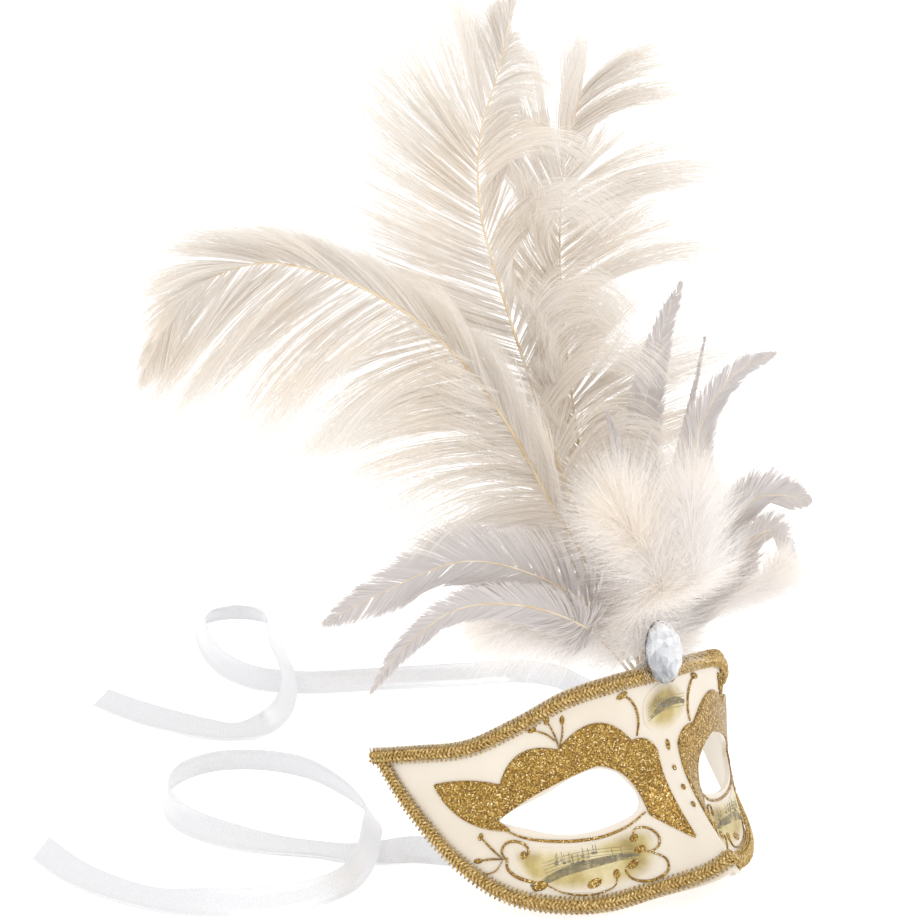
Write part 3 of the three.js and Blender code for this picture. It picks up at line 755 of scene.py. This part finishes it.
def braid(name, edge, inward, end, lift):
    """Gimp braid: a three-strand plait between two rows of small picot loops."""
    s = np.linspace(-end, end, 1900)
    h = edge_height(edge, s)
    slope = np.gradient(h, s)
    middle_h = h + inward * BRAID_HALF * np.hypot(1, slope)
    points = on_face(s, middle_h, 1.0 + lift * smoothstep(np.abs(s), TEMPLE - 16, TEMPLE - 6))
    normal = face_normal(s, middle_h)
    side = unit(np.cross(normal, tangents(points)))
    phase = arc_lengths(points) * 2 * np.pi / PLAIT_PITCH
    build = Build()
    build.add(*swept(points[::4], side[::4], normal[::4], np.tile(
        round_section(np.array([BRAID_HALF - 0.9]), np.array([0.5]), 8), (len(points[::4]), 1, 1))))
    for strand in range(3):
        turn = phase + strand * 2 * np.pi / 3
        sway, rise = 1.35 * np.sin(turn), 0.45 * np.sin(2 * turn) + 0.45
        line = points + side * sway[:, None] + normal * rise[:, None]
        add_thread(build, line, normal, 0.5, 0.45)
    for row in (-1, 1):
        turn = phase * PICOT_TURNS + row
        sway = row * (BRAID_HALF - 0.5 + 0.75 * np.sin(turn))
        curl, rise = 0.62 * np.cos(turn), 0.35 * np.cos(turn)
        line = points + side * sway[:, None]
        line = line + tangents(points) * curl[:, None] + normal * rise[:, None]
        add_thread(build, line, normal, 0.27, 0.27)
    build.piece(f"{name}_gimp", BRAID_GOLD, slot="gold_braid", node=name, smooth=80)


def add_thread(build, line, normal, width, height):
    side = unit(np.cross(normal, tangents(line)))
    rings = np.ones(len(line))
    build.add(*swept(line, side, normal, round_section(width * rings, height * rings, 5)))


shell()
glitter_and_paper()
painted_scrolls()
dark_washes()
score_marks()
braid("braid_upper", TOP_EDGE, -1, TEMPLE - 1.0, 0.9)
braid("braid_lower", LOW_EDGE, 1, TEMPLE - 3.0, 0)


# ---- jewel ----

CREST_HEIGHT = 41.0
CREST = on_face(np.array(0.0), np.array(CREST_HEIGHT))
JEWEL_MIDDLE = CREST + np.array([-3.5, 0, 2.8])
JEWEL_HALF = (8.6, 12.4)
JEWEL_TURN = math.radians(20)
JEWEL_FRONT = 3.8 + 1 + 0.3
QUILL_ROWS = (-7.9, -6.2, -4.5)
QUILL_START = 7
QUILL_HIDDEN = 4


def jewel():
    """An oval domed stone: a small table inside four rows of crown facets, on a thin girdle."""
    count = 12
    across = np.array([math.cos(JEWEL_TURN), 0, math.sin(JEWEL_TURN)])
    upward = np.array([-math.sin(JEWEL_TURN), 0, math.cos(JEWEL_TURN)])

    def ring(scale, forward, half_step):
        angle = (np.arange(count) + half_step) * 2 * np.pi / count
        flat = JEWEL_HALF[0] * scale * np.outer(np.cos(angle), across)
        flat = flat + JEWEL_HALF[1] * scale * np.outer(np.sin(angle), upward)
        return JEWEL_MIDDLE + flat + np.array([0, -(JEWEL_FRONT + forward), 0])

    rings = [ring(1, 0, 0), ring(1, 0.7, 0), ring(0.9, 1.8, 0.5), ring(0.74, 2.7, 0), ring(0.52, 3.3, 0.5),
             ring(0.26, 3.7, 0)]
    build = Build()
    facets = []
    for low, high, step in ((0, 1, 0), (1, 2, 0.5), (2, 3, -0.5), (3, 4, 0.5), (4, 5, -0.5)):
        for i in range(count):
            j = (i + 1) % count
            if step == 0:
                facets.append([rings[low][i], rings[low][j], rings[high][j], rings[high][i]])
            elif step > 0:
                facets.append([rings[low][i], rings[low][j], rings[high][i]])
                facets.append([rings[high][i], rings[low][j], rings[high][j]])
            else:
                facets.append([rings[low][i], rings[high][j], rings[high][i]])
                facets.append([rings[low][i], rings[low][j], rings[high][j]])
    facets.append(list(rings[-1]))
    facets.append(list(rings[0][::-1]))
    for facet in facets:
        offset = np.mean(facet, 0) - JEWEL_MIDDLE
        turned = offset @ across / JEWEL_HALF[0]
        raised = offset @ upward / JEWEL_HALF[1]
        # Painted reflections and shade: each facet's grey is lighter the further it lies towards +X and the
        # top, darker towards -X and the bottom, with a small random spread.
        painted_glint_and_shade = np.clip(0.5 + 0.35 * turned + 0.3 * raised + rng.uniform(-0.16, 0.16), 0, 1)
        build.add(np.array(facet), [np.arange(len(facet))[None]], painted_glint_and_shade)
    build.piece("jewel_cut_stone", STONE, slot="stone", node="jewel_stone")


jewel()


# ---- feathers ----

FEATHERS = {
    # name: (row, root, depth, plane, line)
    "ostrich_plume_right": (0, 1, -32, -8, [(-3, 22), (-10, 60), (-17, 100), (-21, 140), (-19, 172),
                                            (-12, 196)]),
    "ostrich_plume_centre": (0, -2, -22, -8, [(-10, 28), (-26, 62), (-40, 97), (-53, 131), (-62, 160),
                                              (-62, 184), (-54, 207), (-49, 228)]),
    "hackle_tall": (0, 4, -14, 0, [(2, 30), (2, 64), (7, 92), (14, 112), (24, 129)]),
    "hackle_thin": (0, 7, -10, 0, [(9, 30), (17, 62), (26, 88), (32, 109)]),
    "ostrich_plume_left": (1, -2, -5, -14, [(-18, 22), (-38, 52), (-58, 86), (-78, 112), (-101, 131),
                                            (-127, 144), (-152, 149), (-172, 143), (-189, 124)]),
    "hackle_behind": (1, 1, 0, 0, [(-4, 26), (-16, 60), (-28, 92)]),
    "hackle_right_high": (1, 4, 4, -10, [(7, 26), (9, 56), (14, 82), (28, 98), (47, 104)]),
    "hackle_right": (1, 7, 8, -10, [(14, 22), (22, 42), (34, 53), (48, 53), (61, 49)]),
    "hackle_left_high": (2, -6, 11, -20, [(-22, 14), (-50, 35), (-79, 44), (-107, 37), (-131, 27)]),
    "marabou_back": (2, -3.5, 15, 0, [(-10, 22), (-24, 44), (-37, 60)]),
    "hackle_left_low": (2, -8.5, 19, -20, [(-24, 9), (-55, 27), (-85, 30), (-105, 18), (-117, 4)]),
    "hackle_right_low": (2, 7, 14, -10, [(15, 14), (25, 36), (36, 43), (44, 35), (49, 20)]),
    "marabou_left": (1, -5, 6, -20, [(-22, 11), (-44, 17), (-63, 20)]),
    "marabou_front": (2, 0, 21, 0, [(-2, 20), (-6, 40), (-8, 60)]),
    "marabou_right": (2, 9.5, 26, 0, [(16, 7), (24, 16), (32, 28)]),
}
DEPTH_FROM, DEPTH_TO = 15, 38


def rachis(name):
    """The shaft of a feather: evenly spaced points, and the way its flat side faces."""
    row, root, depth, plane, line = FEATHERS[name]
    turn = math.radians(plane)
    across = np.array([math.cos(turn), math.sin(turn), 0])
    forward = np.array([math.sin(turn), -math.cos(turn), 0])
    start = CREST + np.array([root, -QUILL_ROWS[row], -QUILL_START])
    flat = [CREST + across * x + np.array([0, 0, z]) + forward * QUILL_ROWS[row] for x, z in line]
    points = resample(spline([start] + flat, 20), 90)
    shown = arc_lengths(points) - QUILL_HIDDEN
    leaning = (depth - QUILL_ROWS[row]) * smoothstep(shown, DEPTH_FROM, DEPTH_TO)
    return points + forward * leaning[:, None], forward


def strips(build, paths, face, widths, tones, taper=0.25):
    """Thin blades along many paths at once. paths is (count, steps, 3)."""
    count, steps = paths.shape[:2]
    along = unit(np.gradient(paths, axis=1))
    side = unit(np.cross(along, face[:, None]))
    t = np.linspace(0, 1, steps)
    size = widths[:, None] / 2 * (1 - (1 - taper) * t ** 2)
    left = paths + side * size[..., None]
    right = paths - side * size[..., None]
    verts = np.stack([left, right], 2).reshape(-1, 3)
    base = np.arange(count)[:, None] * steps * 2 + np.arange(steps - 1)[None] * 2
    quads = np.stack([base, base + 1, base + 3, base + 2], -1).reshape(-1, 4)
    build.add(verts, [quads], np.repeat(tones, steps * 2))


def grown(starts, first, last, lengths, steps, bend=1.5):
    """Paths that set out along first and turn towards last. Unit directions, one row each."""
    t = np.linspace(0, 1, steps)[None, :, None] ** bend
    heading = unit(first[:, None] * (1 - t) + last[:, None] * t)
    hop = heading * (lengths / (steps - 1))[:, None, None]
    moved = np.cumsum(hop, axis=1) - hop[:, :1]
    return starts[:, None] + moved


DOWN_WARD = np.array([0, 0, -1.0])


def ostrich(name, lengths, angles, sweeps, droops, tufts, fades, tip, per_side=430, strands=8):
    """A plume: long soft barbs in clumps on both sides of a thin shaft.

    Pairs give the two vanes, first the one on the wearer's left, which is the upper one where the
    shaft arches over to the right: barb length, opening angle, pull along the shaft, droop, clump
    size, and how far up it the barbs grow short. tip is how much shorter the last barbs are.
    """
    points, forward = rachis(name)
    build = Build()
    shaft = tangents(points)
    for k, hand in enumerate((-1, 1)):
        t = np.sort(rng.uniform(0.14, 1.0, per_side))
        start, along = on_shaft(points, t), unit(on_shaft(shaft, t))
        side = unit(np.cross(forward, along)) * hand
        near_tip = smoothstep(t, 0.72, 1.0)[:, None]
        open_angle = np.radians(angles[k]) * (1 - 0.6 * near_tip)
        waver = np.interp(t, np.linspace(0, 1, 26), rng.normal(0, 1, 26))[:, None]
        out = forward * (waver * 0.22 + rng.normal(0, 0.07, per_side)[:, None])
        first = unit(side * np.sin(open_angle) + along * np.cos(open_angle) + out)
        droop = DOWN_WARD * droops[k] * (1 + 0.25 * waver)
        last = unit(first * 0.55 + along * sweeps[k] + droop + out * 1.5)
        size = lengths[k] * (0.55 + 0.45 * smoothstep(t, 0.12, 0.36))
        size = size * (1 - tip * smoothstep(t, fades[k], 1.0))
        size = size * rng.uniform(0.88, 1.06, per_side) * (1 + 0.1 * waver[:, 0])
        paths = grown(start, first, last, size, 13)
        stray = rng.random(per_side) < 0.05
        paths[~stray] = clumped(paths[~stray], tufts[k])
        paths[stray] = start[stray, None] + (paths[stray] - start[stray, None]) * 1.22
        spray(build, paths, forward, strands)
    add_shaft(build, points, forward, 0.85, 0.22)
    finish_feather(build, name, OSTRICH, "ostrich")


def on_shaft(values, t):
    place = t * (len(values) - 1)
    return np.stack([np.interp(place, np.arange(len(values)), values[:, k]) for k in range(3)], 1)


def clumped(paths, size):
    """Draws the tips of neighbouring barbs together, which opens gaps between the clumps."""
    count, steps = paths.shape[:2]
    group = np.cumsum(rng.random(count) < 1 / size)
    pull = rng.uniform(0.2, 0.65, group.max() + 1)[group]
    middle = np.zeros((group.max() + 1, steps, 3))
    np.add.at(middle, group, paths)
    middle /= np.maximum(np.bincount(group, minlength=group.max() + 1), 1)[:, None, None]
    t = np.linspace(0, 1, steps)[None, :, None] ** 3
    return paths + (middle[group] - paths) * t * pull[:, None, None]


def spray(build, paths, forward, strands, loose=1.0, width=0.26, wild=0.5):
    """Each barb as several fine strands that drift apart a little."""
    count, steps = paths.shape[:2]
    many = np.repeat(paths, strands, axis=0)
    along = unit(many[:, -1] - many[:, 0])
    side = unit(np.cross(forward, along))
    t = np.linspace(0, 1, steps)[None, :, None]
    drift = rng.normal(0, loose, len(many))[:, None, None] * side[:, None]
    depth = rng.normal(0, loose * 1.2, len(many))[:, None, None] * forward
    turns = rng.uniform(2, 7, len(many))[:, None, None]
    phase = rng.uniform(0, 6, len(many))[:, None, None]
    wave = np.sin(t * turns + phase)
    many = many + (drift + depth) * t ** 0.7 + wave * 0.35 * t * side[:, None]
    shorter = rng.uniform(0.72, 1.0, len(many))[:, None, None]
    many = many[:, :1] + (many - many[:, :1]) * shorter
    face = unit(forward + rng.normal(0, wild, (len(many), 3)))
    tone = np.clip(np.repeat(rng.normal(0.6, 0.15, count), strands) + rng.normal(0, 0.12, len(many)), 0, 1)
    strips(build, many, face, rng.uniform(0.6, 1.2, len(many)) * width, tone)


def add_shaft(build, points, forward, base, tip):
    t = np.linspace(0, 1, len(points))
    radius = base + (tip - base) * t
    side = unit(np.cross(forward, tangents(points)))
    face = np.broadcast_to(forward, points.shape)
    build.shaft = swept(points, side, face, round_section(radius, radius * 0.8, 8))


def finish_feather(build, name, material, slot):
    barb_faces = sum(len(block) for block in build.faces)
    build.add(*build.shaft)
    piece = build.piece(f"{name}_feather", material, slot=slot, node=name, smooth=60)
    piece.data.materials.append(QUILL_HORN)
    index = np.zeros(len(piece.data.polygons), np.int32)
    quads = build.shaft[1][0]
    index[barb_faces:barb_faces + len(quads)] = 1
    piece.data.polygons.foreach_set("material_index", index)


def hackle(name, half, per_side=420, strands=2):
    """A narrow pointed cock feather: a smooth blade of tight sloping barbs, downy near its root."""
    points, forward = rachis(name)
    build = Build()
    length = arc_lengths(points)[-1]
    shaft = tangents(points)
    for hand in (-1, 1):
        t = np.sort(rng.uniform(0.14, 0.99, per_side))
        start, along = on_shaft(points, t), unit(on_shaft(shaft, t))
        side = unit(np.cross(forward, along)) * hand
        downy = 1 - smoothstep(t, 0.15, 0.42)
        slope = np.radians(34 + 26 * downy)[:, None]
        out = forward * (rng.normal(0, 1, per_side) * (0.015 + 0.4 * downy))[:, None]
        first = unit(side * np.sin(slope) + along * np.cos(slope) + forward * 0.1 + out)
        last = unit(along + side * 0.45 + out)
        outline = half * 2.15 * np.maximum(1 - t ** 2.6, 0.0) ** 0.85 * (0.8 + 0.25 * downy)
        reach = np.minimum(outline, (1.0 - t) * length * 0.95 + 0.8)
        reach = reach * (1 - rng.uniform(0, 0.05, per_side)) * (1 - rng.uniform(0, 0.3, per_side) * downy)
        paths = grown(start, first, last, np.maximum(reach, 1.0), 7)
        spray(build, paths, forward, strands, loose=0.22, width=0.62, wild=0.12)
    add_shaft(build, points, forward, 0.55, 0.12)
    finish_feather(build, name, HACKLE, "hackle")


def marabou(name, reach, count, spread=70.0):
    """Down: very fine curling threads all round a short weak shaft."""
    points, forward = rachis(name)
    build = Build()
    shaft = tangents(points)
    t = rng.uniform(0.12, 1.0, count)
    start, along = on_shaft(points, t), unit(on_shaft(shaft, t))
    side = unit(np.cross(forward, along))
    round_angle = rng.uniform(0, 2 * np.pi, count)[:, None]
    away = side * np.cos(round_angle) + forward * np.sin(round_angle) * 0.55
    slope = np.radians(rng.uniform(15, spread + 45 * (1 - smoothstep(t, 0.1, 0.6))))[:, None]
    first = unit(away * np.sin(slope) + along * np.cos(slope))
    last = unit(first + along * 0.35 + rng.normal(0, 0.2, (count, 3)) + DOWN_WARD * 0.1)
    length = reach * rng.uniform(0.55, 1.1, count) * (0.75 + 0.25 * smoothstep(t, 0.05, 0.5))
    paths = grown(start, first, last, length, 7)
    steps = np.linspace(0, 1, 7)[None, :, None]
    turns = rng.uniform(4, 11, count)[:, None, None]
    phase = rng.uniform(0, 6, count)[:, None, None]
    curl = np.sin(steps * turns + phase)
    paths = paths + curl * steps ** 2 * 0.9 * unit(rng.normal(0, 1, (count, 3)))[:, None]
    face = unit(rng.normal(0, 1, (count, 3)))
    tone = np.clip(rng.normal(0.62, 0.22, count), 0, 1)
    strips(build, paths, face, rng.uniform(0.1, 0.2, count), tone, taper=0.3)
    add_shaft(build, points, forward, 0.5, 0.15)
    finish_feather(build, name, DOWN, "marabou")


ostrich("ostrich_plume_left", (44, 78), (18, 50), (1.1, 0.22), (0.35, 0.75), (16, 9), (0.8, 0.72), 0.74)
ostrich("ostrich_plume_centre", (62, 68), (48, 50), (0.15, 0.15), (0.9, 0.05), (6, 6), (0.65, 0.75), 0.84)
ostrich("ostrich_plume_right", (70, 50), (66, 42), (0.1, 0.4), (0.35, 0.25), (4, 6), (0.74, 0.84), 0.5)
for hackle_name, half_width in (
    ("hackle_tall", 15), ("hackle_thin", 3.5), ("hackle_behind", 7), ("hackle_right_high", 12),
    ("hackle_right", 14), ("hackle_left_high", 17), ("hackle_left_low", 10), ("hackle_right_low", 9),
):
    hackle(hackle_name, half_width)
marabou("marabou_back", 30, 10000)
marabou("marabou_left", 24, 10000)
marabou("marabou_front", 27, 10000)
marabou("marabou_right", 18, 9000)


# ---- the CAD nodes that stay ----

def assign(node, material):
    for piece in bpy.data.objects:
        if piece.name == node or piece.name.split(".")[0] == node:
            piece.data.materials.clear()
            piece.data.materials.append(material)


assign("jewel_foil_back", foil_material())
assign("feather_card", card_material())


# ---- floor and light ----

def floor():
    material, tree, shader = nodes_of("floor_paper")
    cloud = texture(tree, "ShaderNodeTexNoise", Scale=3.0)
    tree.links.new(ramp(tree, cloud.outputs["Fac"], [(0.3, (0.96, 0.96, 0.96)), (0.7, (0.98, 0.98, 0.98))]),
                   shader.inputs["Base Color"])
    shader.inputs["Roughness"].default_value = 0.9
    shader.inputs["Emission Color"].default_value = (1, 1, 1, 1)
    shader.inputs["Emission Strength"].default_value = 0.22
    half = 6.0
    corners = [(-half, -half), (half, -half), (half, half), (-half, half)]
    mesh = bpy.data.meshes.new("floor")
    mesh.from_pydata([(x, y, (TABLE - 0.5) * MM) for x, y in corners], [], [(0, 1, 2, 3)])
    mesh.materials.append(material)
    plane = bpy.data.objects.new("floor", mesh)
    bpy.context.collection.objects.link(plane)


def area_light(name, place, power, size):
    light = bpy.data.lights.new(name, "AREA")
    light.energy = power
    light.size = size
    lamp = bpy.data.objects.new(name, light)
    bpy.context.collection.objects.link(lamp)
    lamp.location = place
    lamp.rotation_mode = "QUATERNION"
    lamp.rotation_quaternion = (Vector((0, 0.05, 0.08)) - Vector(place)).to_track_quat("-Z", "Y")


def lights():
    world = bpy.data.worlds.new("studio")
    bpy.context.scene.world = world
    world.use_nodes = True
    world.node_tree.nodes["Background"].inputs["Color"].default_value = (1, 1, 1, 1)
    world.node_tree.nodes["Background"].inputs["Strength"].default_value = 1.08
    area_light("key", (-0.6, -1.4, 1.3), 7, 0.9)
    area_light("fill", (1.3, -0.9, 0.7), 2, 1.2)


floor()
lights()
bpy.context.scene.view_settings.view_transform = "Standard"
